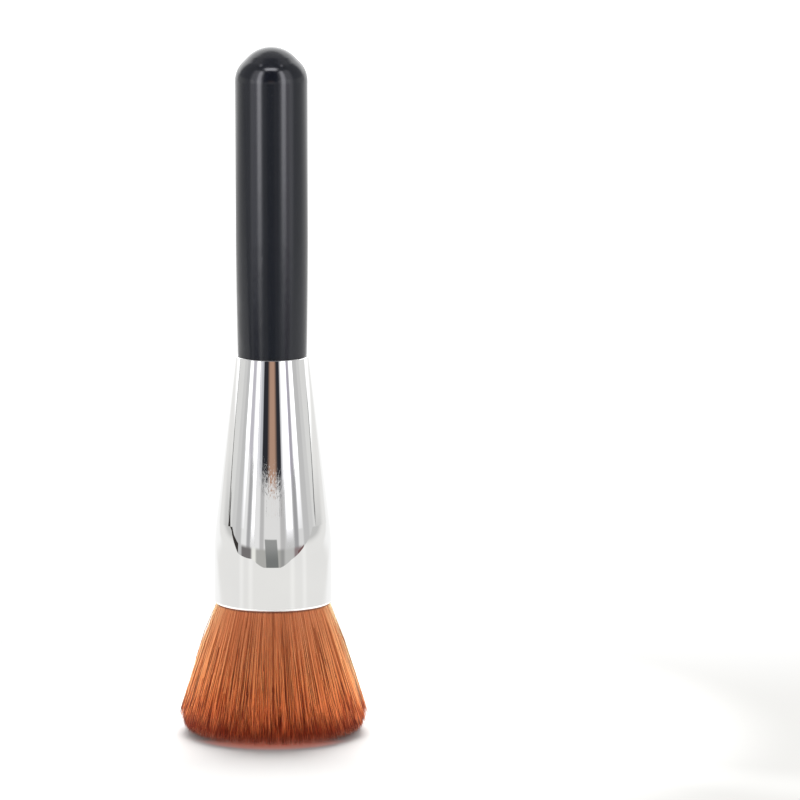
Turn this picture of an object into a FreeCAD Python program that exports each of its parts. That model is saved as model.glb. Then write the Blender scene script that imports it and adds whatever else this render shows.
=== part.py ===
"""A flat-topped kabuki makeup brush, standing on its hair with the handle up.

Six pieces on one axis: a lacquered wooden handle whose tenon is glued into a drawn metal ferrule, and a
flared bundle of synthetic filaments whose tied root is set in resin in the ferrule's wide mouth.
The frame is in millimetres: the origin is the centre of the flat hair face, and +Z runs up the handle.
"""

import FreeCAD
import Part

import math
import os

# Lengths along the axis that show from outside.
HAIR_OUT = 29.7
FERRULE_LENGTH = 56.0
HANDLE_OUT = 69.3

# Hair: the head's widest radius, the soft edge round its flat face, and the bend where it leaves the mouth.
# Inside the mouth it runs straight, and is then drawn in to the knot that the thread ties.
HEAD_RADIUS = 21.3
HEAD_EDGE = 5.8
FLARE_BEND = 1.6
STRAIGHT_RUN = 4.5
KNOT_TAPER = 2.4
KNOT_MARGIN = 0.9

# Ferrule: a straight band at the mouth, a soft knee, then a cone up to the rim that takes the handle.
# The mouth's edge is turned in by an arc of the lip radius.
MOUTH_RADIUS = 13.2
BAND_LENGTH = 14.4
KNEE_RADIUS = 70.0
RIM_RADIUS = 8.1
FERRULE_WALL = 0.35
LIP_RADIUS = 0.7
LIP_TURN = 45.0

# Handle: a bullet-shaped end, a straight grip, and a taper that enters the ferrule and steps down to a tenon.
GRIP_RADIUS = 8.1
GRIP_LENGTH = 24.0
CROWN_RADIUS = 7.3
FLANK_ANGLE = 45.0
SHOULDER_RADIUS = 6.0
NECK_DEPTH = 2.5
TENON_STEP = 0.5
TENON_LENGTH = 18.0
TENON_CHAMFER = 1.0
GROOVE_COUNT = 3
GROOVE_WIDTH = 1.2
GROOVE_DEPTH = 0.5
GROOVE_PITCH = 3.4

# What holds the pieces together: glue round the tenon, and thread and resin at the hair's root.
GLUE_RECESS = 0.6
TENON_BARE = 4.0
RESIN_CAP = 3.0
RESIN_WALL = 0.3
THREAD_RADIUS = 0.3
THREAD_TURNS = 5
THREAD_SPACE = 0.5

# Clearances between pieces.
SEAM_GAP = 0.05
HAIR_GAP = 0.05
THREAD_GAP = 0.02

# Levels that follow from the lengths above.
MOUTH_Z = HAIR_OUT
KNEE_Z = MOUTH_Z + BAND_LENGTH
RIM_Z = MOUTH_Z + FERRULE_LENGTH
APEX_Z = RIM_Z + HANDLE_OUT
THREAD_PITCH = 2 * THREAD_RADIUS + THREAD_SPACE
WINDING_HEIGHT = THREAD_TURNS * THREAD_PITCH + 2 * THREAD_RADIUS
KNOT_Z = MOUTH_Z + STRAIGHT_RUN + KNOT_TAPER
ROOT_Z = KNOT_Z + WINDING_HEIGHT + 2 * KNOT_MARGIN

# Both faces of the ferrule's wall share the centres of its knee, its lip and the rounded ends of the wall.
HALF_WALL = FERRULE_WALL / 2
CONE_ANGLE = math.atan2(MOUTH_RADIUS - RIM_RADIUS, RIM_Z - KNEE_Z)
KNEE_CENTRE = (MOUTH_RADIUS - KNEE_RADIUS, KNEE_Z - KNEE_RADIUS * math.tan(CONE_ANGLE / 2))
LIP_ANGLE = math.radians(LIP_TURN)
LIP_MIDDLE = LIP_RADIUS - HALF_WALL
LIP_CENTRE = (MOUTH_RADIUS - LIP_RADIUS, MOUTH_Z + HALF_WALL + LIP_MIDDLE * math.sin(LIP_ANGLE))
LIP_END = (LIP_CENTRE[0] + LIP_MIDDLE * math.cos(LIP_ANGLE), MOUTH_Z + HALF_WALL)

AXIS = FreeCAD.Vector(0, 0, 1)
ORIGIN = FreeCAD.Vector(0, 0, 0)


def cone_radius(level, depth):
    """The cone's radius at a level, for a face that lies a depth in from its outer face."""
    return MOUTH_RADIUS - (level - KNEE_Z) * math.tan(CONE_ANGLE) - depth / math.cos(CONE_ANGLE)


def bore_radius(level):
    """The radius of the ferrule's inner face at a level on its band, its knee or its cone."""
    climb = level - KNEE_CENTRE[1]
    inner_knee = KNEE_RADIUS - FERRULE_WALL
    if climb <= 0:
        return MOUTH_RADIUS - FERRULE_WALL
    if climb <= inner_knee * math.sin(CONE_ANGLE):
        return KNEE_CENTRE[0] + math.sqrt(inner_knee**2 - climb**2)
    return cone_radius(level, FERRULE_WALL)


RIM_END = (cone_radius(RIM_Z - HALF_WALL, HALF_WALL), RIM_Z - HALF_WALL)
SEAM_RADIUS = RIM_END[0] - HALF_WALL - SEAM_GAP
TENON_RADIUS = SEAM_RADIUS - TENON_STEP
NECK_Z = RIM_Z - NECK_DEPTH
TENON_Z = RIM_Z - TENON_LENGTH
HAIR_RADIUS = LIP_END[0] - HALF_WALL - HAIR_GAP
THREAD_ROOM = 2 * (THREAD_RADIUS + THREAD_GAP)
KNOT_RADIUS = bore_radius(ROOT_Z) - RESIN_WALL - THREAD_ROOM


class Profile:
    """A half section in the XZ plane, drawn as lines and arcs and turned about the axis."""

    def __init__(self, radius, level):
        self.first = FreeCAD.Vector(radius, 0, level)
        self.last = self.first
        self.edges = []

    def line(self, radius, level):
        end = FreeCAD.Vector(radius, 0, level)
        if not end.isEqual(self.last, Part.Precision.confusion()):
            self.edges.append(Part.LineSegment(self.last, end).toShape())
            self.last = end

    def arc(self, centre, radius, start, end):
        """A line to where the arc starts, then the arc. The angles are in radians, from +X towards +Z."""
        first, middle, last = (on_circle(centre, radius, angle) for angle in (start, (start + end) / 2, end))
        self.line(first.x, first.z)
        self.edges.append(Part.Arc(self.last, middle, last).toShape())
        self.last = last

    def ease(self, radius, level):
        """A curve that leaves the last point along the axis, as a turned taper leaves a straight stretch."""
        along = FreeCAD.Vector(self.last.x, 0, (self.last.z + level) / 2)
        end = FreeCAD.Vector(radius, 0, level)
        curve = Part.BezierCurve()
        curve.setPoles([self.last, along, end])
        self.edges.append(curve.toShape())
        self.last = end

    def turned(self):
        self.line(self.first.x, self.first.z)
        return Part.Face(Part.Wire(self.edges)).revolve(ORIGIN, AXIS, 360)


def on_circle(centre, radius, angle):
    return FreeCAD.Vector(centre[0] + radius * math.cos(angle), 0, centre[1] + radius * math.sin(angle))


def disc(radius, low, high):
    return Part.makeCylinder(radius, high - low, FreeCAD.Vector(0, 0, low), AXIS)


def ring(inner, outer, low, high):
    return disc(outer, low, high).cut(disc(inner, low, high))


def make_ferrule():
    """A drawn shell of even wall. Its mouth is turned in, so that a smooth edge grips the hair."""
    shell = Profile(MOUTH_RADIUS, LIP_CENTRE[1])
    shell.arc(KNEE_CENTRE, KNEE_RADIUS, 0, CONE_ANGLE)
    shell.arc(RIM_END, HALF_WALL, CONE_ANGLE, CONE_ANGLE + math.pi)
    shell.arc(KNEE_CENTRE, KNEE_RADIUS - FERRULE_WALL, CONE_ANGLE, 0)
    shell.arc(LIP_CENTRE, LIP_RADIUS - FERRULE_WALL, 0, -LIP_ANGLE)
    shell.arc(LIP_END, HALF_WALL, -LIP_ANGLE - math.pi, -LIP_ANGLE)
    shell.arc(LIP_CENTRE, LIP_RADIUS, -LIP_ANGLE, 0)
    return shell.turned()


def ferrule_cavity(low, high):
    """The space inside the ferrule between two levels, for what is cured in place there."""
    inside = Profile(0, LIP_CENTRE[1])
    inside.line(bore_radius(LIP_CENTRE[1]), LIP_CENTRE[1])
    inside.arc(KNEE_CENTRE, KNEE_RADIUS - FERRULE_WALL, 0, CONE_ANGLE)
    inside.line(bore_radius(RIM_END[1]), RIM_END[1])
    inside.line(0, RIM_END[1])
    return inside.turned().common(disc(MOUTH_RADIUS, low, high))


def make_handle():
    """Turned hardwood in one piece, from the bullet-shaped end to the grooved tenon."""
    flank = math.radians(FLANK_ANGLE)
    crown_edge = CROWN_RADIUS * math.sin(flank)
    crown_drop = CROWN_RADIUS * (1 - math.cos(flank))
    shoulder_edge = GRIP_RADIUS - SHOULDER_RADIUS * (1 - math.sin(flank))
    flank_drop = (shoulder_edge - crown_edge) * math.tan(flank)
    grip_top = APEX_Z - crown_drop - flank_drop - SHOULDER_RADIUS * math.cos(flank)

    body = Profile(0, APEX_Z)
    body.arc((0, APEX_Z - CROWN_RADIUS), CROWN_RADIUS, math.pi / 2, math.pi / 2 - flank)
    body.arc((GRIP_RADIUS - SHOULDER_RADIUS, grip_top), SHOULDER_RADIUS, math.pi / 2 - flank, 0)
    body.line(GRIP_RADIUS, grip_top - GRIP_LENGTH)
    body.ease(SEAM_RADIUS, RIM_Z)
    body.line(SEAM_RADIUS, NECK_Z)
    body.line(TENON_RADIUS, NECK_Z)
    body.line(TENON_RADIUS, TENON_Z + TENON_CHAMFER)
    body.line(TENON_RADIUS - TENON_CHAMFER, TENON_Z)
    body.line(0, TENON_Z)
    handle = body.turned()
    for number in range(1, GROOVE_COUNT + 1):
        bottom = NECK_Z - number * GROOVE_PITCH
        handle = handle.cut(ring(TENON_RADIUS - GROOVE_DEPTH, SEAM_RADIUS, bottom, bottom + GROOVE_WIDTH))
    print(f"grip from {grip_top - GRIP_LENGTH:.2f} to {grip_top:.2f}")
    return handle


def make_handle_glue(handle):
    """Cured adhesive between the handle and the cone, keyed into the tenon's grooves."""
    return ferrule_cavity(TENON_Z + TENON_BARE, RIM_Z - GLUE_RECESS).cut(handle)


def make_bristle_bundle():
    """The packed filaments as one soft solid: tied root, straight run, flare and soft-edged flat face.

    The flank is the line that touches both the bend at the mouth and the soft edge of the face.
    """
    bend_centre = (HAIR_RADIUS + FLARE_BEND, MOUTH_Z)
    edge_centre = (HEAD_RADIUS - HEAD_EDGE, HEAD_EDGE)
    across = edge_centre[0] - bend_centre[0]
    along = bend_centre[1] - edge_centre[1]
    flare = math.atan2(across, along) + math.asin((FLARE_BEND + HEAD_EDGE) / math.hypot(across, along))

    bundle = Profile(0, ROOT_Z)
    bundle.line(KNOT_RADIUS, ROOT_Z)
    bundle.line(KNOT_RADIUS, KNOT_Z)
    bundle.line(HAIR_RADIUS, KNOT_Z - KNOT_TAPER)
    bundle.arc(bend_centre, FLARE_BEND, math.pi, math.pi + flare)
    bundle.arc(edge_centre, HEAD_EDGE, flare, -math.pi / 2)
    bundle.line(0, 0)
    print(f"hair flares by {math.degrees(flare):.1f} degrees to a flat face of radius {edge_centre[0]:.2f}")
    return bundle.turned()


def make_root_binding():
    """One thread wound round the hair's root, in arcs of half a turn that climb half a pitch each."""
    radius = KNOT_RADIUS + THREAD_ROOM / 2
    bottom = KNOT_Z + KNOT_MARGIN + THREAD_RADIUS
    climb = THREAD_PITCH / 2
    bulge = math.hypot(radius, climb / 2)
    arcs = []
    for half_turn in range(2 * THREAD_TURNS):
        side = radius if half_turn % 2 == 0 else -radius
        start = FreeCAD.Vector(side, 0, bottom + half_turn * climb)
        end = FreeCAD.Vector(-side, 0, start.z + climb)
        middle = FreeCAD.Vector(0, math.copysign(bulge, side), start.z + climb / 2)
        arcs.append(Part.Arc(start, middle, end).toShape())
    first = FreeCAD.Vector(radius, 0, bottom)
    section = Part.Wire(Part.makeCircle(THREAD_RADIUS, first, FreeCAD.Vector(0, 1, 0)))
    winding = Part.Wire(arcs).makePipeShell([section], True, False)
    report_winding(arcs, winding)
    return winding


def report_winding(arcs, winding):
    """Print the winding's volume beside its section times its length, and the least gap between its turns."""
    steps = 24
    length = sum(arc.Length for arc in arcs)
    points = [point for arc in arcs for point in arc.discretize(steps)]
    pairs = zip(points, points[2 * steps :])
    gap = min(lower.distanceToPoint(upper) for lower, upper in pairs) - 2 * THREAD_RADIUS
    drawn = math.pi * THREAD_RADIUS**2 * length
    print(f"thread {length:.1f} long, volume {winding.Volume:.2f} against {drawn:.2f}, least gap {gap:.2f}")


def make_root_resin(bundle):
    """The cured plug that sets the root: a sleeve round the tied knot, and a cap on the cut ends."""
    winding_z = KNOT_Z + KNOT_MARGIN
    thread_pocket = ring(
        KNOT_RADIUS,
        KNOT_RADIUS + THREAD_ROOM,
        winding_z - THREAD_GAP,
        winding_z + WINDING_HEIGHT + THREAD_GAP,
    )
    return ferrule_cavity(KNOT_Z, ROOT_Z + RESIN_CAP).cut(bundle).cut(thread_pocket)


def main():
    os.makedirs("parts", exist_ok=True)
    handle = make_handle()
    bundle = make_bristle_bundle()
    pieces = {
        "handle": handle,
        "handle_glue": make_handle_glue(handle),
        "ferrule": make_ferrule(),
        "bristle_bundle": bundle,
        "root_binding": make_root_binding(),
        "root_resin": make_root_resin(bundle),
    }
    for name, shape in pieces.items():
        shape.exportStep(f"parts/{name}.step")
        low, high = shape.BoundBox.ZMin, shape.BoundBox.ZMax
        print(f"{name}: {len(shape.Solids)} solid, {shape.Volume:.1f} mm3, z {low:.2f} to {high:.2f}")


main()
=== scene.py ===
# A flat-topped kabuki makeup brush, standing on its hair with the handle up. Everything is in metres, in
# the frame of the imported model: the origin is the centre of the hair's flat face, and +Z runs to the handle.
import math

import bpy
import mathutils
import numpy as np
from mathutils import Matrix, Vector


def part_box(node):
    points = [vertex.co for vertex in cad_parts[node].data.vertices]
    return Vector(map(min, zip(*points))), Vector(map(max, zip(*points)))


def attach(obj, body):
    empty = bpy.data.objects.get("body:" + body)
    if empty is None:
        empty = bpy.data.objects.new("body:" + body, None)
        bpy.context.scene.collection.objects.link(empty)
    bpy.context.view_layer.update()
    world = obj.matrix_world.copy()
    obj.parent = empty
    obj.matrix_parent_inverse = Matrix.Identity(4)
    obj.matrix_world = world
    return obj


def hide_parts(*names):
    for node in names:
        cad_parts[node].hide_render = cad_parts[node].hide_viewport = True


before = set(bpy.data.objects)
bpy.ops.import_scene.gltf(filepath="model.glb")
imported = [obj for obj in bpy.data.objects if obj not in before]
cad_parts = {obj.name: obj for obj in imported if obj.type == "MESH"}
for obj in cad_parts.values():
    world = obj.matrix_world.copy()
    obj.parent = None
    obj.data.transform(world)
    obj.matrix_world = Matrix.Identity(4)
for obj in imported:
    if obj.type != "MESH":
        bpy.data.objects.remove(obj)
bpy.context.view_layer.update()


# Binding thread: waxed polyester wound in five turns round the roots of the hair before they are set.
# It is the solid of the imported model, hidden in the ferrule, with a twisted ply to its finish.
class Wire:
    """One output of a material's nodes: arithmetic on it adds Math nodes, and node() adds any other node."""

    def __init__(self, tree, socket=None):
        self.tree = tree
        self.socket = socket

    def node(self, kind, settings=None, sockets=None, output=0):
        made = self.tree.nodes.new("ShaderNode" + kind)
        for name, value in (settings or {}).items():
            if name == "stops":
                while len(made.color_ramp.elements) < len(value):
                    made.color_ramp.elements.new(1.0)
                for element, (place, colour) in zip(made.color_ramp.elements, value):
                    element.position = place
                    element.color = (*colour, 1.0)
            else:
                setattr(made, name, value)
        for name, value in (sockets or {}).items():
            if isinstance(value, Wire):
                self.tree.links.new(value.socket, made.inputs[name])
            else:
                made.inputs[name].default_value = value
        return Wire(self.tree, made.outputs[output] if made.outputs else None)

    def math(self, operation, *values):
        return self.node("Math", {"operation": operation}, dict(enumerate(values)))

    def between(self, start, end, smooth="SMOOTHSTEP"):
        """0 where the value is at start, 1 where it is at end, with a soft step between them."""
        return self.node("MapRange", {"interpolation_type": smooth}, {"Value": self, 1: start, 2: end})

    def tint(self, first, second, blend="MIX"):
        """The first colour where the value is 0, and the second where it is 1."""
        settings = {"data_type": "RGBA", "blend_type": blend}
        return self.node("Mix", settings, {0: self, 6: first, 7: second}, 2)

    def __add__(self, other):
        return self.math("ADD", self, other)

    def __sub__(self, other):
        return self.math("SUBTRACT", self, other)

    def __rsub__(self, other):
        return self.math("SUBTRACT", other, self)

    def __mul__(self, other):
        return self.math("MULTIPLY", self, other)

    __radd__ = __add__
    __rmul__ = __mul__


def new_finish(name):
    """An empty material, and a wire that its nodes are added from."""
    finish = bpy.data.materials.new(name)
    finish.use_nodes = True
    finish.node_tree.nodes.clear()
    return finish, Wire(finish.node_tree)


def surface(nodes, sockets):
    """Ends a material in one Principled shader with these values and links."""
    shader = nodes.node("BsdfPrincipled", None, sockets)
    nodes.node("OutputMaterial", None, {"Surface": shader})


THREAD_PLY = 900.0

thread_finish, nodes = new_finish("waxed_thread")
place = nodes.node("TexCoord", None, None, "Object")
ply = nodes.node("TexWave", {"bands_direction": "DIAGONAL"}, {"Vector": place, "Scale": THREAD_PLY})
thread_colour = ply.tint((0.52, 0.47, 0.36, 1.0), (0.72, 0.67, 0.55, 1.0))
thread_bump = nodes.node("Bump", None, {"Strength": 0.4, "Distance": 0.00005, "Height": ply})
surface(nodes, {"Base Color": thread_colour, "Roughness": 0.6, "Normal": thread_bump})
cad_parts["root_binding"].material_slots[0].material = thread_finish


# Root resin: the plug that was poured round the tied roots and cured in the ferrule.
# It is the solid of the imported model, a cloudy amber.
resin_finish, nodes = new_finish("cured_root_resin")
place = nodes.node("TexCoord", None, None, "Object")
cloud = nodes.node("TexNoise", None, {"Vector": place, "Scale": 240.0, "Detail": 3.0})
resin_colour = cloud.tint((0.30, 0.19, 0.06, 1.0), (0.48, 0.34, 0.14, 1.0))
surface(nodes, {"Base Color": resin_colour, "Roughness": cloud * 0.2 + 0.2})
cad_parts["root_resin"].material_slots[0].material = resin_finish


# Hair: tens of thousands of straight, tapered synthetic filaments, cinnamon with dark dipped ends. They leave
# the mouth in a fan and are trimmed to a flat face with a rounded edge. Each one is laid along its own path.
HEAD_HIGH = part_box("bristle_bundle")[1]
FERRULE_LOW, FERRULE_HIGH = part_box("ferrule")

# The neck clears the turned-in lip, and the trimmed outline leaves room for the tips that stand proud of it.
NECK_INSET = 0.00058
FLANK_INSET = 0.0006
HEAD_INSET = 0.00025
EDGE_ACROSS = 0.0028
EDGE_UP = 0.0043
ROOT_DEPTH = 0.0008
LIP_RISE = 0.0002
LIP_RUN = 0.0012
LEAST_TIP_HEIGHT = 0.00012
TRIM_STEPS = 90
MOUTH_HEIGHT = FERRULE_LOW.z
MOUTH_BORE = FERRULE_HIGH.x - NECK_INSET
MOUTH_FLANK = FERRULE_HIGH.x - FLANK_INSET
HEAD_RADIUS = HEAD_HIGH.x - HEAD_INSET
EDGE_REACH = HEAD_RADIUS - EDGE_ACROSS
ROOT_HEIGHT = MOUTH_HEIGHT + ROOT_DEPTH

# The flank is the line from the mouth that touches the rounded edge. The edge is a stretched circle.
EDGE_STRETCH = EDGE_UP / EDGE_ACROSS
edge_out = (EDGE_REACH - MOUTH_FLANK) * EDGE_STRETCH
edge_down = MOUTH_HEIGHT - EDGE_UP
edge_lean = math.atan2(edge_out, edge_down) + math.asin(EDGE_UP / math.hypot(edge_out, edge_down))
EDGE_START = EDGE_UP * (1.0 + math.sin(edge_lean))
FLARE_SLOPE = math.tan(edge_lean) / EDGE_STRETCH
FLANK_FOOT = MOUTH_FLANK + FLARE_SLOPE * MOUTH_HEIGHT


def fan_radius(height):
    """The fan's outside radius at a height: straight in the mouth, then bent over the lip to the flank."""
    flank = FLANK_FOOT - FLARE_SLOPE * height
    bend = np.clip((MOUTH_HEIGHT + LIP_RISE - height) / LIP_RUN, 0.0, 1.0)
    return MOUTH_BORE + (flank - MOUTH_BORE) * bend * bend * (3.0 - 2.0 * bend)


def edge_radius(height):
    """The radius of the head's outline at a height: the fan's outside, and the rounded edge below it."""
    rounded = EDGE_REACH + EDGE_ACROSS * np.sqrt(np.maximum(1.0 - (1.0 - height / EDGE_UP) ** 2, 0.0))
    return np.where(height < EDGE_START, rounded, fan_radius(height))


def fan_path(share, curl, height):
    """The radius of a filament at these heights. Its curl is how far it follows the rounded edge inwards."""
    straight = fan_radius(height)
    return share * (straight + curl * (edge_radius(height) - straight))


def trim_height(share, curl, proud):
    """Where filaments are cut: as low as they stay inside the head's outline, or stand this proud of it."""
    steps = np.linspace(LEAST_TIP_HEIGHT, EDGE_START, TRIM_STEPS)
    outside = fan_path(share[:, None], curl[:, None], steps) > edge_radius(steps) + proud[:, None]
    return steps[np.minimum(outside.sum(axis=1), len(steps) - 1)]


def model_filament(name, rings):
    """A three-sided filament of unit length along +Z: a ring of corners at each height, and a pointed end."""
    bpy.ops.object.select_all(action="DESELECT")
    bpy.ops.mesh.primitive_circle_add(vertices=3, radius=1.0, fill_type="NGON", location=(0.0, 0.0, 0.0))
    filament = bpy.context.object
    filament.name = name
    bpy.ops.object.mode_set(mode="EDIT")
    bpy.ops.mesh.select_all(action="SELECT")
    for low, high in zip(rings, rings[1:]):
        bpy.ops.mesh.extrude_region_move(TRANSFORM_OT_translate={"value": (0.0, 0.0, high - low)})
    bpy.ops.mesh.merge(type="CENTER")
    bpy.ops.mesh.select_all(action="SELECT")
    bpy.ops.mesh.normals_make_consistent(inside=False)
    bpy.ops.object.mode_set(mode="OBJECT")
    return filament


def lengths_from_tip(paths):
    """How much of each filament lies between each point of its path and its tip."""
    steps = np.linalg.norm(np.diff(paths, axis=1), axis=2)
    return np.concatenate((np.cumsum(steps[:, ::-1], axis=1)[:, ::-1], np.zeros((len(paths), 1))), axis=1)


def lay_filaments(name, template, paths, thickness, shades):
    """One piece of filaments: copies of the template, each bent along its path of one point for each ring.
    Its map holds the filament's shade across and its height above the face, which the dye follows."""
    source = template.data
    corners = np.array([corner.co for corner in source.vertices])
    heights = np.round(corners[:, 2], 5)
    ring = np.searchsorted(np.unique(heights), heights)
    along = np.gradient(paths, axis=1)
    along /= np.linalg.norm(along, axis=2, keepdims=True)
    outward = paths * (1.0, 1.0, 0.0)
    outward /= np.maximum(np.linalg.norm(outward, axis=2, keepdims=True), LEAST_LENGTH)
    side = np.cross(along, outward)
    side /= np.maximum(np.linalg.norm(side, axis=2, keepdims=True), LEAST_LENGTH)
    outward = np.cross(side, along)
    from_tip = lengths_from_tip(paths)
    taper = POINT_SHARE + (1.0 - POINT_SHARE) * np.clip(from_tip / TAPER_LENGTH, 0.0, 1.0) ** TAPER_CURVE
    width = (thickness[:, None] * taper)[:, ring, None]
    points = paths[:, ring] + width * (corners[:, :1] * side[:, ring] + corners[:, 1:2] * outward[:, ring])

    count = len(paths)
    copies = np.arange(count)[:, None]
    loop_corner = np.array([loop.vertex_index for loop in source.loops])
    face_start = np.array([face.loop_start for face in source.polygons])
    face_total = np.array([face.loop_total for face in source.polygons])
    mesh = bpy.data.meshes.new(name)
    mesh.vertices.add(count * len(corners))
    mesh.vertices.foreach_set("co", points.ravel())
    mesh.loops.add(count * len(loop_corner))
    mesh.loops.foreach_set("vertex_index", (loop_corner + copies * len(corners)).ravel())
    mesh.polygons.add(count * len(face_start))
    mesh.polygons.foreach_set("loop_start", (face_start + copies * len(loop_corner)).ravel())
    mesh.polygons.foreach_set("loop_total", np.tile(face_total, count))
    mesh.polygons.foreach_set("use_smooth", np.ones(count * len(face_start), bool))
    across = (np.arctan2(corners[:, 1], corners[:, 0]) / (2.0 * math.pi) + 0.5) * SHADE_STRIP
    shade_and_place = np.empty((count, len(loop_corner), 2))
    shade_and_place[:, :, 0] = shades[:, None] + across[loop_corner]
    shade_and_place[:, :, 1] = 1.0 - paths[:, ring, 2][:, loop_corner] / HAIR_LENGTH
    mesh.uv_layers.new(name="OFBake").data.foreach_set("uv", shade_and_place.ravel())
    mesh.update()
    mesh.validate()
    piece = bpy.data.objects.new(name, mesh)
    bpy.context.scene.collection.objects.link(piece)
    piece.data.materials.append(hair_finish)
    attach(piece, "root")
    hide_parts("bristle_bundle")
    hair_only.objects.link(piece)


# Every piece of hair is also in a collection of its own, for lamps that light nothing else.
hair_only = bpy.data.collections.new("hair_only")
SHADE_STRIP = 0.01
HAIR_LENGTH = 0.034
POINT_SHARE = 0.4
TAPER_LENGTH = 0.006
TAPER_CURVE = 0.7
LEAST_LENGTH = 1e-9

# Dark strands take the dipped dye and light ones the plain dye, which starts lower. Both ramps hold
# painted shade just under the mouth, where the ferrule's lip shades the roots, and paler cut tips, partly
# their own lighter colour and partly painted light from the floor. A speckle along each strand lightens
# and darkens it.
DIP_CHANGE = 23.0
DIP_SCATTER = 0.14
SPECKLE_ACROSS = 60.0
SPECKLE_ALONG = 9.0
hair_finish, nodes = new_finish("brown_filament")
shade_place = nodes.node("UVMap", {"uv_map": "OFBake"})
shade = nodes.node("SeparateXYZ", None, {"Vector": shade_place}, "X")
along_hair = nodes.node("SeparateXYZ", None, {"Vector": shade_place}, "Y")
dip_place = nodes.node("CombineXYZ", None, {"X": shade * DIP_CHANGE})
dip_level = nodes.node("TexNoise", {"noise_dimensions": "2D"}, {"Vector": dip_place, "Scale": 1.0})


def dip(millimetres, colour):
    """A stop of the dye's ramp, at this height above the face."""
    return 1.0 - millimetres * 0.001 / HAIR_LENGTH, colour


# The mouth's stops are painted shade under the ferrule's lip; the tip's stop is partly painted light.
dipped_dye_and_painted_light = nodes.node("ValToRGB", {"stops": (
    dip(30.6, (0.10, 0.030, 0.022)),
    dip(29.6, (0.14, 0.042, 0.028)),
    dip(29.2, (0.62, 0.190, 0.072)),
    dip(22.0, (0.63, 0.178, 0.059)),
    dip(14.0, (0.64, 0.150, 0.041)),
    dip(10.0, (0.62, 0.118, 0.028)),
    dip(7.5, (0.60, 0.094, 0.024)),
    dip(5.5, (0.62, 0.086, 0.023)),
    dip(3.8, (0.66, 0.082, 0.024)),
    dip(2.4, (0.70, 0.094, 0.032)),
    dip(1.2, (0.76, 0.160, 0.085)),
    dip(0.0, (0.85, 0.300, 0.200)),
)}, {"Fac": along_hair + (dip_level - 0.5) * along_hair * along_hair * DIP_SCATTER})
# The mouth's stops are painted shade under the ferrule's lip; the tip's stop is partly painted light.
plain = nodes.node("ValToRGB", {"stops": (
    dip(30.6, (0.10, 0.030, 0.022)),
    dip(29.6, (0.14, 0.042, 0.028)),
    dip(29.2, (0.62, 0.190, 0.072)),
    dip(14.0, (0.66, 0.160, 0.045)),
    dip(7.0, (0.68, 0.132, 0.034)),
    dip(3.0, (0.66, 0.108, 0.030)),
    dip(0.0, (0.85, 0.300, 0.180)),
)}, {"Fac": along_hair})
# Light and dark strands share the painted shade at the mouth and the partly painted light at the tips.
dye_and_painted_light = shade.between(0.35, 0.75).tint(dipped_dye_and_painted_light, plain)
speckle_place = nodes.node("CombineXYZ", None, {"X": shade * SPECKLE_ACROSS, "Y": along_hair * SPECKLE_ALONG})
speckle = nodes.node("TexNoise", {"noise_dimensions": "2D"},
                     {"Vector": speckle_place, "Scale": 1.0, "Detail": 2.0})
contrast = along_hair.between(0.05, 0.75) * 1.3 + 0.45
light = (shade + speckle * 0.5 - 0.75) * contrast + 0.5
# Each strand is darker or lighter by its own tone. The golden white of the lightest strands is a painted sheen.
tone_and_painted_light = light.between(0.0, 0.55, "LINEAR").tint((0.26, 0.20, 0.17, 1.0), (0.98, 0.98, 0.98, 1.0))
tone_and_painted_light = light.between(0.55, 1.0, "LINEAR").tint(tone_and_painted_light, (1.35, 2.05, 2.60, 1.0))
hair_colour = nodes.node("Mix", {"data_type": "RGBA", "blend_type": "MULTIPLY"},
                         {0: 1.0, 6: dye_and_painted_light, 7: tone_and_painted_light}, 2)
surface(nodes, {"Base Color": hair_colour, "Roughness": 0.36, "Specular IOR Level": 0.5})

CHANCE_SEED = 20
WANDER_CURVE = 2.5
chance = np.random.default_rng(CHANCE_SEED)


def fan_out(share, turn, fall, curl, proud, bow, wander, short):
    """Paths of filaments, from their share of the fan's radius, their turn about the axis, and how far along
    each ring is. They curl in at the edge or stand proud of it, bow, wander sideways and may be cut short."""
    tip_height = np.maximum(trim_height(share, curl, proud) + short, LEAST_TIP_HEIGHT)[:, None]
    height = ROOT_HEIGHT + (tip_height - ROOT_HEIGHT) * fall
    radius = fan_path(share[:, None], curl[:, None], height) + bow[:, None] * np.sin(math.pi * fall)
    angle = turn[:, None] + wander[:, None] * fall ** WANDER_CURVE
    return np.stack((radius * np.cos(angle), radius * np.sin(angle), height), axis=2)


# Side filaments run from the mouth to the rounded edge, in three layers from the outside in. Their tips draw
# together in small tufts, and the deeper layers get darker shades, painted shade that shows between these.
# Each row is a count, the deepest and shallowest share of the fan, the darkest and lightest shade, the most
# curl, how far the tips stray from the outline, and how unevenly they are cut.
SIDE_RINGS = (0.0, 0.03, 0.065, 0.40, 0.72, 0.88, 1.0)
SIDE_LAYERS = {
    "hair_outer": (4200, 0.972, 1.0, 0.15, 0.98, 0.05, 0.00045, 0.0012),
    "hair_middle": (5000, 0.93, 0.98, 0.10, 0.94, 0.15, 0.00026, 0.0013),
    "hair_inner": (5400, 0.86, 0.95, 0.0, 0.50, 0.30, 0.00015, 0.0003),
}
SIDE_THICKNESS = 0.0001
SIDE_SPREAD = (0.7, 1.3)
SIDE_WANDER = 0.009
SIDE_BOW = 0.00012
SHADE_SPREAD = 0.55
STRAY_SHARE = 0.2
STRAY_WANDER = 4.0
BENT_SHARE = 0.1
BENT_BOW = 2.5
TUFTS = 480
TUFT_PULL = (0.1, 0.8)
TUFT_PROUD = 0.00028
TUFT_SHORT = 0.4
TUFT_TINT = 0.12
side_template = model_filament("side_filament", SIDE_RINGS)
tuft_turn = np.sort(chance.uniform(0.0, 2.0 * math.pi, TUFTS))
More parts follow.
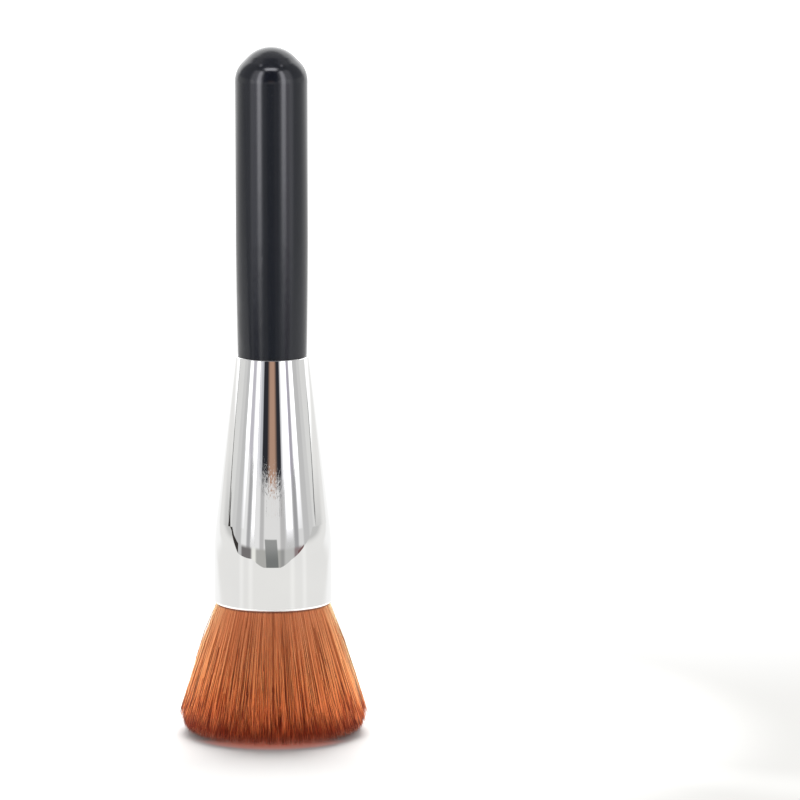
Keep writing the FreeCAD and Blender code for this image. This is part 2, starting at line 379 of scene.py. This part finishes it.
tuft_shade = chance.random(TUFTS)
tuft_proud = chance.normal(0.0, TUFT_PROUD, TUFTS)
tuft_short = chance.exponential(TUFT_SHORT, TUFTS)
for name, (count, deep, shallow, darkest, lightest, most_curl, straying, stagger) in SIDE_LAYERS.items():
    turn = chance.uniform(0.0, 2.0 * math.pi, count)
    tuft = np.searchsorted(tuft_turn, turn) % TUFTS
    to_tuft = (tuft_turn[tuft] - turn + math.pi) % (2.0 * math.pi) - math.pi
    wander = to_tuft * chance.uniform(*TUFT_PULL, count)
    own_wander = chance.normal(0.0, SIDE_WANDER, count)
    wander += own_wander * np.where(chance.random(count) < STRAY_SHARE, STRAY_WANDER, 1.0)
    paths = fan_out(
        share=chance.uniform(deep, shallow, count),
        turn=turn,
        fall=np.array(SIDE_RINGS),
        curl=chance.uniform(0.0, most_curl, count),
        proud=tuft_proud[tuft] + chance.normal(0.0, straying, count),
        bow=chance.normal(0.0, SIDE_BOW, count) * np.where(chance.random(count) < BENT_SHARE, BENT_BOW, 1.0),
        wander=wander,
        short=stagger * (tuft_short[tuft] + chance.exponential(1.0, count)),
    )
    own_shade = chance.beta(SHADE_SPREAD, SHADE_SPREAD, count)
    shade_share = TUFT_TINT * tuft_shade[tuft] + (1.0 - TUFT_TINT) * own_shade
    shades = darkest + (lightest - darkest) * shade_share
    lay_filaments(name, side_template, paths, SIDE_THICKNESS * chance.uniform(*SIDE_SPREAD, count), shades)
bpy.data.meshes.remove(side_template.data)

# Edge and face filaments show only their ends, so only these are laid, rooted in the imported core. Each row is
# the deepest and shallowest share of the fan, and the share of their length that is laid.
END_RINGS = (0.0, 0.4, 0.75, 1.0)
END_LAYERS = {
    "hair_edge": (0.66, 0.93, 0.40),
    "hair_face_a": (0.0, 0.74, 0.24),
    "hair_face_b": (0.0, 0.74, 0.24),
}
END_COUNT = 11000
END_THICKNESS = 0.00008
END_SPREAD = (0.75, 1.15)
END_CURL = 0.3
END_WANDER = 0.02
END_STAGGER = 0.0003
END_LIGHTEST = 0.98
end_template = model_filament("end_filament", END_RINGS)
for name, (deep, shallow, shown) in END_LAYERS.items():
    paths = fan_out(
        share=np.sqrt(chance.uniform(deep ** 2, shallow ** 2, END_COUNT)),
        turn=chance.uniform(0.0, 2.0 * math.pi, END_COUNT),
        fall=1.0 - shown + shown * np.array(END_RINGS),
        curl=chance.uniform(0.0, END_CURL, END_COUNT),
        proud=np.zeros(END_COUNT),
        bow=np.zeros(END_COUNT),
        wander=chance.normal(0.0, END_WANDER, END_COUNT),
        short=chance.exponential(END_STAGGER, END_COUNT),
    )
    shades = chance.uniform(0.0, END_LIGHTEST, END_COUNT)
    lay_filaments(name, end_template, paths, END_THICKNESS * chance.uniform(*END_SPREAD, END_COUNT), shades)
bpy.data.meshes.remove(end_template.data)


# Hair core: the imported middle of the bundle, where no single filament can be told from the next.
# It fills the fan behind the filaments, so that no light shows through the head. Its near-black brown is
# painted shade: the same hair, deep in the bundle where little light reaches.
CORE_SHARE = 0.87
CORE_LIFT = 0.0055
CORE_EDGE = 0.0035
CORE_STEPS = 10
CORE_SIDES = 64
CORE_SORT_POINT = (0.31, 0.17, 0.53)

bpy.ops.object.select_all(action="DESELECT")
bpy.ops.mesh.primitive_circle_add(vertices=CORE_SIDES, radius=CORE_SHARE * MOUTH_BORE, fill_type="NGON",
                                  location=(0.0, 0.0, ROOT_HEIGHT))
hair_core = bpy.context.object
hair_core.name = "hair_core"
bpy.ops.object.transform_apply(location=True, rotation=True, scale=True)
bpy.ops.object.mode_set(mode="EDIT")
bpy.ops.mesh.select_all(action="SELECT")
core_heights = np.linspace(ROOT_HEIGHT, CORE_LIFT + CORE_EDGE, CORE_STEPS)
core_radii = CORE_SHARE * fan_radius(core_heights)
core_heights = np.append(core_heights, CORE_LIFT)
core_radii = np.append(core_radii, core_radii[-1] - CORE_EDGE)
for step in range(1, len(core_heights)):
    drop = core_heights[step] - core_heights[step - 1]
    grow = core_radii[step] / core_radii[step - 1]
    bpy.ops.mesh.extrude_region_move(TRANSFORM_OT_translate={"value": (0.0, 0.0, drop)})
    bpy.ops.transform.resize(value=(grow, grow, 1.0), center_override=(0.0, 0.0, core_heights[step]))
bpy.ops.mesh.select_all(action="SELECT")
bpy.ops.mesh.normals_make_consistent(inside=False)
# Extruding leaves the faces in no fixed order, so they are sorted by distance from a point beside the head.
bpy.context.scene.cursor.location = CORE_SORT_POINT
bpy.ops.mesh.sort_elements(type="CURSOR_DISTANCE", elements={"VERT", "EDGE", "FACE"})
bpy.ops.object.mode_set(mode="OBJECT")

# The core's near-black brown is painted shade, with a fine strand noise in it.
core_shade_finish, nodes = new_finish("shaded_packed_filament")
place = nodes.node("TexCoord", None, None, "Object")
strands = nodes.node("TexNoise", None, {"Vector": place, "Scale": 2600.0, "Detail": 2.0})
core_shade_colour = strands.tint((0.03, 0.006, 0.002, 1.0), (0.16, 0.03, 0.010, 1.0))
surface(nodes, {"Base Color": core_shade_colour, "Roughness": 0.8})
hair_core.data.materials.append(core_shade_finish)
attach(hair_core, "root")
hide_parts("bristle_bundle")
hair_only.objects.link(hair_core)


# Ferrule: thin aluminium drawn to a straight band, a soft knee and a long cone, and polished bright.
# Its mouth is turned in round the hair. The handle is glued into its narrow end, whose edge is rounded off.
ferrule_finish, nodes = new_finish("bright_ferrule")
place = nodes.node("TexCoord", None, None, "Object")
drawn_place = nodes.node("Mapping", None, {"Vector": place, "Scale": (900.0, 900.0, 14.0)})
drawn = nodes.node("TexNoise", None, {"Vector": drawn_place, "Scale": 1.0, "Detail": 2.0})
haze = nodes.node("TexNoise", None, {"Vector": place, "Scale": 90.0, "Detail": 3.0})
metal = haze.tint((0.81, 0.81, 0.81, 1.0), (0.87, 0.87, 0.865, 1.0))
drawn_bump = nodes.node("Bump", None, {"Strength": 0.002, "Distance": 0.00002, "Height": drawn})
polish = haze * 0.008 + 0.004
surface(nodes, {"Base Color": metal, "Metallic": 1.0, "Roughness": polish, "Normal": drawn_bump})
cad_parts["ferrule"].material_slots[0].material = ferrule_finish


# Handle glue: the cured adhesive that holds the handle's grooved tenon in the ferrule's cone.
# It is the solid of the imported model, with small bubbles in it.
glue_finish, nodes = new_finish("cured_glue")
place = nodes.node("TexCoord", None, None, "Object")
bubbles = nodes.node("TexVoronoi", None, {"Vector": place, "Scale": 700.0}, "Distance")
glue_colour = bubbles.between(0.1, 0.6).tint((0.80, 0.75, 0.60, 1.0), (0.66, 0.58, 0.40, 1.0))
surface(nodes, {"Base Color": glue_colour, "Roughness": bubbles * 0.3 + 0.3})
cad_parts["handle_glue"].material_slots[0].material = glue_finish


# Handle: turned wood with a domed end, sprayed with several coats of black lacquer and left satin.
# Its tenon is glued into the ferrule's cone.
handle_finish, nodes = new_finish("black_lacquer")
place = nodes.node("TexCoord", None, None, "Object")
mist = nodes.node("TexNoise", None, {"Vector": place, "Scale": 160.0, "Detail": 4.0})
lacquer = mist.tint((0.0036, 0.0048, 0.0088, 1.0), (0.0052, 0.0066, 0.0112, 1.0))
peel = nodes.node("TexNoise", None, {"Vector": place, "Scale": 620.0, "Detail": 2.0})
peel_bump = nodes.node("Bump", None, {"Strength": 0.05, "Distance": 0.00004, "Height": peel})
surface(nodes, {"Base Color": lacquer, "Roughness": mist * 0.05 + 0.135, "IOR": 1.5, "Normal": peel_bump})
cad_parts["handle"].material_slots[0].material = handle_finish


# Floor: a white sheet that ends a forearm's length in front of the brush and widens to the back, low walls on
# parts of its edge, and a pale apron beyond it that the bright metal doesn't mirror. The brush stands on its
# plain middle, and the rest glows. Neither casts a shadow, so light from below reaches the hair's face.
SHEET_CORNERS = (
    (-4.0, 4.4), (-2.4, 1.4), (-1.6, 0.4), (-1.25, 0.0), (-0.5, -0.1), (-0.34, -0.12), (-0.2, -0.24),
    (0.6, -0.25), (1.1, -0.2), (2.2, -0.05), (2.5, 0.4), (2.6, 1.5), (4.0, 4.4),
)
SHEET_CENTRE = 0.001
SHEET_MIDDLE = 0.1
FLOOR_REACH = 6.0
APRON_WIDTH = 0.5
FLOOR_SIDES = 240
# Headings, in degrees from the front, of faint painted beams of light across the sheet.
SHEET_LIGHT_BEAMS = (-62.0, -42.5, 38.5, 64.0)
LIGHT_BEAM_WIDTH = 8.0
LIGHT_BEAM_STRENGTH = 0.12
BLACK = (0.0, 0.0, 0.0, 1.0)
DEGREE = 180.0 / math.pi

# Each wall is a row of first and last heading, in degrees from the front, height and colour.
WALL_STEPS = 24
WALL_GRAIN = (0.9, 1.1)
SHEET_WALLS = {
    "left_wall": (-102.0, -70.5, 0.021, (0.05, 0.045, 0.042)),
    "right_wall": (51.0, 64.0, 0.008, (0.20, 0.11, 0.11)),
    "right_far_wall": (98.0, 116.0, 0.014, (0.28, 0.28, 0.28)),
    "left_far_wall": (-122.0, -103.0, 0.011, (0.14, 0.135, 0.13)),
}

sheet_finish, nodes = new_finish("white_sheet")
place = nodes.node("TexCoord", None, None, "Object")
across = nodes.node("SeparateXYZ", None, {"Vector": place}, "X")
back = nodes.node("SeparateXYZ", None, {"Vector": place}, "Y")
grain = nodes.node("TexNoise", None, {"Vector": place, "Scale": 9.0, "Detail": 2.0})
paint = grain.tint((0.81, 0.805, 0.79, 1.0), (0.83, 0.825, 0.81, 1.0))
away = nodes.math("SQRT", across * across + back * back)
beside = nodes.math("ABSOLUTE", across)
outside = away.between(0.07, 0.12)

# The glow is brighter behind the brush and far back, and dimmer beside it.
sheet_glow = back.between(0.02, 0.12).tint((0.905, 0.90, 0.88, 1.0), (1.05, 1.05, 1.045, 1.0))
near_side = beside.between(0.12, 0.17) * (1.0 - back.between(0.12, 0.25))
sheet_glow = near_side.tint(sheet_glow, (0.90, 0.895, 0.88, 1.0))
sheet_glow = beside.between(0.28, 0.38).tint(sheet_glow, (0.91, 0.905, 0.89, 1.0))
sheet_glow = back.between(0.8, 1.05).tint(sheet_glow, (1.35, 1.35, 1.35, 1.0))
far_aside = beside.between(0.5, 1.0) * (1.0 - back.between(0.2, 0.8))
sheet_glow = far_aside.tint(sheet_glow, (0.62, 0.62, 0.61, 1.0))
facing = nodes.math("ARCTAN2", across, 0.0 - back) * DEGREE
# Faint beams of painted light fan out across the sheet from the brush.
for beam_heading in SHEET_LIGHT_BEAMS:
    beam = 1.0 - nodes.math("ABSOLUTE", facing - beam_heading).between(0.0, LIGHT_BEAM_WIDTH)
    sheet_glow = (beam * LIGHT_BEAM_STRENGTH).tint(sheet_glow, (1.6, 1.6, 1.58, 1.0))

# A faint warm glow close in front of the head stands for the light that the hair throws on the sheet.
foot_light = (1.0 - away.between(0.0185, 0.0215)) * (0.0 - back).between(0.009, 0.016)
foot_glow = foot_light.tint(BLACK, (0.24, 0.06, 0.035, 1.0))
sheet_face = nodes.node("BsdfPrincipled", None, {
    "Base Color": outside.tint(paint, BLACK),
    "Roughness": 0.6,
    "Specular IOR Level": 0.0,
    "Emission Color": outside.tint(foot_glow, sheet_glow),
    "Emission Strength": 1.0,
})
under_sheet = nodes.node("BsdfTransparent")
from_below = nodes.node("NewGeometry", None, None, "Backfacing")
sheet_shader = nodes.node("MixShader", None, {0: from_below, 1: sheet_face, 2: under_sheet})
nodes.node("OutputMaterial", None, {"Surface": sheet_shader})

corner_turns = [math.atan2(x, -y) for x, y in SHEET_CORNERS]


def sheet_reach(turn):
    """How far the sheet reaches in a direction, turned from the front: to the edge between two corners."""
    past = (turn + math.pi) % (2.0 * math.pi) - math.pi
    after = int(np.searchsorted(corner_turns, past))
    if after in (0, len(SHEET_CORNERS)):
        return FLOOR_REACH
    x, y = SHEET_CORNERS[after - 1]
    run = SHEET_CORNERS[after][0] - x
    climb = SHEET_CORNERS[after][1] - y
    return (x * climb - y * run) / (math.sin(past) * climb + math.cos(past) * run)


def floor_part(name, *reaches):
    """A flat ring, or several in one another, from the first reach out to the next ones. A reach of None is
    the sheet's own outline."""
    bpy.ops.object.select_all(action="DESELECT")
    bpy.ops.mesh.primitive_circle_add(vertices=FLOOR_SIDES, radius=1.0, location=(0.0, 0.0, 0.0))
    part = bpy.context.object
    part.name = name
    bpy.ops.object.mode_set(mode="EDIT")
    bpy.ops.mesh.select_all(action="SELECT")
    for _ in reaches[1:]:
        bpy.ops.mesh.extrude_region_move()
    bpy.ops.object.mode_set(mode="OBJECT")
    for corner in part.data.vertices:
        turn = math.atan2(corner.co.x, -corner.co.y)
        reach = reaches[corner.index // FLOOR_SIDES]
        corner.co = corner.co * (sheet_reach(turn) if reach is None else reach)
    bpy.ops.object.mode_set(mode="EDIT")
    bpy.ops.mesh.select_all(action="SELECT")
    bpy.ops.mesh.normals_make_consistent(inside=False)
    bpy.ops.object.mode_set(mode="OBJECT")
    if part.data.polygons[0].normal.z < 0.0:
        part.data.flip_normals()
    part.data.materials.append(sheet_finish)
    part.visible_shadow = False
    return part


floor_part("sheet", SHEET_CENTRE, SHEET_MIDDLE, None)
apron = floor_part("apron", None, FLOOR_REACH + APRON_WIDTH)
apron.visible_glossy = False

for name, (first, last, height, colour) in SHEET_WALLS.items():
    bpy.ops.object.select_all(action="DESELECT")
    bpy.ops.mesh.primitive_grid_add(
        x_subdivisions=WALL_STEPS, y_subdivisions=1, size=1.0, location=(0.0, 0.0, 0.0))
    wall = bpy.context.object
    wall.name = name
    for corner in wall.data.vertices:
        turn = math.radians(first + (last - first) * (corner.co.x + 0.5))
        reach = sheet_reach(turn)
        corner.co = (reach * math.sin(turn), -reach * math.cos(turn), height * (corner.co.y + 0.5))
    wall_finish, nodes = new_finish(name + "_paint")
    place = nodes.node("TexCoord", None, None, "Object")
    grain = nodes.node("TexNoise", None, {"Vector": place, "Scale": 3.0, "Detail": 2.0})
    darker, lighter = (tuple(share * part for part in colour) + (1.0,) for share in WALL_GRAIN)
    wall_glow = grain.tint(darker, lighter)
    wall_light = nodes.node("Emission", None, {"Color": wall_glow, "Strength": 1.0})
    nodes.node("OutputMaterial", None, {"Surface": wall_light})
    wall.data.materials.append(wall_finish)
    wall.visible_camera = False
    wall.visible_diffuse = False


# Light panels: soft-edged panels on each side of the camera and overhead, each linked to the one piece that
# mirrors it, the lacquered handle or the bright ferrule. They are weak at the foot and grow stronger upwards.
# Each row is that piece, first and last heading in degrees from the front, distance, foot, top, the height
# where the panel is at full strength, and its weakest and full strength.
PANELS = {
    "left_front_panel": ("handle", -46.5, -29.0, 0.9, -0.05, 1.1, 0.05, 0.02, 3.8),
    "right_front_panel": ("handle", 31.5, 50.0, 0.9, -0.05, 1.1, 0.05, 0.02, 3.6),
    "left_wing": ("handle", -73.0, -22.0, 0.93, -0.05, 1.1, 0.05, 0.95, 1.15),
    "right_wing": ("handle", 23.0, 80.0, 0.93, -0.05, 1.1, 0.05, 0.80, 0.95),
    "left_panel": ("ferrule", -43.5, -35.5, 0.6, 0.01, 0.22, 0.09, 0.0, 1.0),
    "right_panel": ("ferrule", 26.0, 44.5, 0.6, 0.01, 0.22, 0.09, 0.0, 1.0),
    "left_outer_panel": ("ferrule", -69.5, -58.0, 0.6, 0.05, 0.22, 0.09, 0.0, 0.8),
    "right_outer_panel": ("ferrule", 52.5, 65.5, 0.6, 0.05, 0.22, 0.09, 0.0, 0.8),
}

# Each overhead panel is a row of place, size and strength.
TOP_PANELS = {
    "top_panel": ((0.0, -0.52), (0.76, 0.245), 6.5),
    "left_top_panel": ((-0.38, -0.10), (0.13, 0.13), 2.5),
    "right_top_panel": ((0.38, -0.10), (0.13, 0.13), 2.5),
}
TOP_HEIGHT = 1.0
TOP_SPAN = 0.1
PANEL_TINT = (1.0, 0.995, 1.06)
PANEL_SOFT = 0.25
PANEL_CURVE = 1.9


def light_panel(name, shown_in, size, turn, place_at, span, strength):
    """A flat panel that one piece shows, with a weak and a full strength at the two heights of its span."""
    bpy.ops.object.select_all(action="DESELECT")
    bpy.ops.mesh.primitive_plane_add(size=1.0, location=(0.0, 0.0, 0.0))
    panel = bpy.context.object
    panel.name = name
    panel.scale = (*size, 1.0)
    panel.rotation_euler = turn
    panel.location = place_at
    bpy.ops.object.transform_apply(location=True, rotation=True, scale=True)
    finish, nodes = new_finish(name + "_light")
    place = nodes.node("TexCoord", None, None, "Object")
    up = nodes.node("SeparateXYZ", None, {"Vector": place}, "Z").between(*span, "LINEAR")
    weak, strong = ((*(power * part for part in PANEL_TINT), 1.0) for power in strength)
    side = nodes.node("SeparateXYZ", None, {"Vector": nodes.node("UVMap")}, "X")
    soft = side.between(0.0, PANEL_SOFT) * (1.0 - side.between(1.0 - PANEL_SOFT, 1.0))
    glow = soft.tint(BLACK, nodes.math("POWER", up, PANEL_CURVE).tint(weak, strong))
    panel_light = nodes.node("Emission", None, {"Color": glow, "Strength": 1.0})
    behind = nodes.node("BsdfTransparent")
    panel_shader = nodes.node("AddShader", None, {0: panel_light, 1: behind})
    nodes.node("OutputMaterial", None, {"Surface": panel_shader})
    panel.data.materials.append(finish)
    panel.light_linking.receiver_collection = shown_only[shown_in]
    panel.visible_diffuse = False
    panel.visible_camera = False


shown_only = {}
for node in ("handle", "ferrule"):
    shown_only[node] = bpy.data.collections.new(node + "_only")
    shown_only[node].objects.link(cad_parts[node])
for name, (shown_in, first, last, distance, foot, top, full, weak, strong) in PANELS.items():
    middle = math.radians((first + last) / 2.0)
    width = 2.0 * distance * math.tan(math.radians((last - first) / 2.0))
    stand = (distance * math.sin(middle), -distance * math.cos(middle), (top + foot) / 2.0)
    turned = (math.radians(-90.0), 0.0, middle)
    light_panel(name, shown_in, (width, top - foot), turned, stand, (foot, full), (weak, strong))
for name, ((x, y), size, strength) in TOP_PANELS.items():
    span = (TOP_HEIGHT - TOP_SPAN, TOP_HEIGHT)
    turned = (math.radians(180.0), 0.0, 0.0)
    light_panel(name, "handle", size, turned, (x, y, TOP_HEIGHT), span, (strength, strength))


# Studio: dark in front with a warm strip in the middle, white and grey screens at the sides, a pale back.
# The bright ferrule mirrors all of it. The camera itself sees plain white behind the brush.
scene = bpy.context.scene
scene.view_settings.view_transform = "Standard"
world = bpy.data.worlds.new("studio")
scene.world = world
world.use_nodes = True
world.node_tree.nodes.clear()
nodes = Wire(world.node_tree)
ray = nodes.node("TexCoord", None, None, "Generated")
ray_x = nodes.node("SeparateXYZ", None, {"Vector": ray}, "X")
ray_y = nodes.node("SeparateXYZ", None, {"Vector": ray}, "Y")
ray_z = nodes.node("SeparateXYZ", None, {"Vector": ray}, "Z")
heading = nodes.math("ARCTAN2", ray_x, 0.0 - ray_y) * DEGREE
rise = nodes.math("ARCSINE", ray_z) * DEGREE


def bands(edge, rows):
    """Ramp stops of plain bands from the back, round by the left, front and right. Each row is where a band
    starts, in degrees from the front, and its colour. Edge is how wide the soft step between two bands is."""
    stops = [(0.0, rows[0][1])]
    for (_, before), (start, after) in zip(rows, rows[1:]):
        stops.append(((start - edge / 2.0 + 180.0) / 360.0, before))
        stops.append(((start + edge / 2.0 + 180.0) / 360.0, after))
    return stops


GAP_DARK = (0.028, 0.029, 0.036)
LEFT_POST = (0.60, 0.585, 0.64)
RIGHT_POST = (0.46, 0.44, 0.50)
SIDE_NEAR = (0.60, 0.60, 0.60)
SIDE_FAR = (0.80, 0.80, 0.79)
WHITE = (1.2, 1.2, 1.2)

# Screens at three heights: well above the horizon, about level with it, and below it.
turn_share = (heading + 180.0) * (1.0 / 360.0)
upper = nodes.node("ValToRGB", {"stops": bands(1.6, (
    (-180.0, SIDE_FAR),
    (-92.0, (0.70, 0.70, 0.695)),
    (-80.0, SIDE_NEAR),
    (-70.0, WHITE),
    (-58.0, LEFT_POST),
    (-47.5, WHITE),
    (-36.0, (0.86, 0.86, 0.90)),
    (-30.0, (0.57, 0.58, 0.62)),
    (-23.5, GAP_DARK),
    (21.5, (0.80, 0.80, 0.83)),
    (25.0, WHITE),
    (41.0, RIGHT_POST),
    (51.0, WHITE),
    (65.0, SIDE_NEAR),
    (80.0, (0.70, 0.70, 0.695)),
    (92.0, SIDE_FAR),
))}, {"Fac": turn_share})
lower = nodes.node("ValToRGB", {"stops": bands(3.0, (
    (-180.0, SIDE_FAR),
    (-92.0, (0.70, 0.70, 0.695)),
    (-80.0, SIDE_NEAR),
    (-65.5, (0.92, 0.92, 0.92)),
    (-53.0, (0.45, 0.45, 0.46)),
    (-45.0, (0.90, 0.90, 0.90)),
    (-25.5, (0.56, 0.555, 0.555)),
    (-17.0, (0.84, 0.835, 0.83)),
    (16.0, (0.56, 0.555, 0.555)),
    (25.5, (0.66, 0.66, 0.66)),
    (45.0, (0.40, 0.40, 0.41)),
    (54.0, (0.80, 0.80, 0.80)),
    (65.5, SIDE_NEAR),
    (80.0, (0.70, 0.70, 0.695)),
    (92.0, SIDE_FAR),
))}, {"Fac": turn_share})
deep = nodes.node("ValToRGB", {"stops": bands(4.0, (
    (-180.0, SIDE_FAR),
    (-92.0, SIDE_NEAR),
    (-64.0, (0.20, 0.19, 0.19)),
    (-42.0, (0.95, 0.95, 0.90)),
    (-33.0, (0.47, 0.47, 0.45)),
    (16.0, (0.36, 0.36, 0.355)),
    (24.0, (0.58, 0.58, 0.57)),
    (44.0, (0.30, 0.24, 0.245)),
    (60.0, SIDE_NEAR),
    (92.0, SIDE_FAR),
))}, {"Fac": turn_share})

# The dark gap in front has a warm strip in it and ends in a ragged foot, with a grey block below.
warm = 1.0 - nodes.math("ABSOLUTE", heading - 0.5).between(4.0, 13.0)
upper_warm = warm.tint(upper, (0.49, 0.30, 0.215, 1.0))
ragged_place = nodes.node("CombineXYZ", None, {"X": heading * 0.4, "Y": rise * 45.0})
ragged = nodes.node("TexNoise", {"noise_dimensions": "2D"},
                    {"Vector": ragged_place, "Scale": 1.0, "Detail": 2.0})
gap_foot = (rise + ragged + heading * heading * 0.00045).between(4.54, 4.58)
surroundings = gap_foot.tint(lower, upper_warm)
surroundings = rise.between(-4.8, -3.2).tint(deep, surroundings)
block_side = nodes.math("ABSOLUTE", heading + 1.5 + 0.35 * (rise + 5.0))
block = (1.0 - block_side.between(11.0, 13.0)) * (1.0 - rise.between(-0.6, 0.0))
block_grey = rise.between(-9.0, -1.0).tint((0.20, 0.21, 0.205, 1.0), (0.34, 0.345, 0.34, 1.0))
surroundings = block.tint(surroundings, block_grey)

# Higher up it is dark in front, grey at the sides and white at the back, under a grey ceiling. Warm white
# comes from far below.
aside = nodes.math("ABSOLUTE", heading)
high = aside.between(122.0, 136.0).tint((0.48, 0.48, 0.49, 1.0), (2.2, 2.2, 2.2, 1.0))
high = aside.between(22.0, 24.0).tint((0.12, 0.12, 0.13, 1.0), high)
surroundings = rise.between(7.0, 10.0).tint(surroundings, high)
bright_back = aside.between(126.0, 138.0) * rise.between(-4.0, -1.0) * (1.0 - rise.between(7.0, 10.0))
surroundings = bright_back.tint(surroundings, (1.6, 1.6, 1.6, 1.0))
ceiling = aside.between(70.0, 120.0).tint((0.30, 0.30, 0.31, 1.0), (0.80, 0.80, 0.81, 1.0))
surroundings = rise.between(48.0, 62.0).tint(surroundings, ceiling)
surroundings = rise.between(-30.0, -14.0).tint((1.15, 1.1, 1.05, 1.0), surroundings)
seen = nodes.node("LightPath", None, None, "Is Camera Ray")
backdrop = seen.tint(surroundings, (1.0, 1.0, 1.0, 1.0))
background = nodes.node("Background", None, {"Color": backdrop, "Strength": 1.0})
nodes.node("OutputWorld", None, {"Surface": background})

# Lamps: a disk overhead and behind, weak fills low down all round, and two rims that light the hair alone.
# Each row is shape, size, stand, power and the only collection that it lights, or None for everything.
RIM_COLOUR = (0.66, 0.94, 0.60)
LAMPS = {
    "back_lamp": ("DISK", 0.45, (0.0, 0.29, 0.50), 4.2, None),
    "front_fill": ("SQUARE", 0.12, (0.0, -0.5, 0.025), 1.05, None),
    "left_fill": ("SQUARE", 0.12, (-0.5, 0.0, 0.025), 0.45, None),
    "right_fill": ("SQUARE", 0.12, (0.5, 0.0, 0.025), 0.45, None),
    "rear_fill": ("SQUARE", 0.12, (0.0, 0.5, 0.025), 0.15, None),
    "left_rim": ("SQUARE", 0.12, (-0.42, 0.24, 0.09), 1.7, hair_only),
    "right_rim": ("SQUARE", 0.12, (0.42, 0.24, 0.09), 1.7, hair_only),
}
for name, (shape, size, stand, power, shown_in) in LAMPS.items():
    lamp_light = bpy.data.lights.new(name, "AREA")
    lamp_light.shape = shape
    lamp_light.size = size
    lamp_light.energy = power
    lamp = bpy.data.objects.new(name, lamp_light)
    scene.collection.objects.link(lamp)
    lamp.location = stand
    lamp.rotation_euler = (-mathutils.Vector(stand)).to_track_quat("-Z", "Y").to_euler()
    lamp.visible_glossy = shown_in is not None
    lamp.visible_camera = False
    if shown_in is not None:
        lamp_light.color = RIM_COLOUR
        lamp.light_linking.receiver_collection = shown_in


# Camera: a long lens a little over a metre away, higher than the brush and looking slightly down.
camera_data = bpy.data.cameras.new("camera")
camera_data.lens = 234.0
camera_data.sensor_width = 36.0
camera_data.clip_end = 50.0
camera = bpy.data.objects.new("camera", camera_data)
scene.collection.objects.link(camera)
camera.location = (0.0286, -1.1521, 0.2581)
camera.rotation_euler = (math.radians(81.0), 0.0, 0.0)
scene.camera = camera
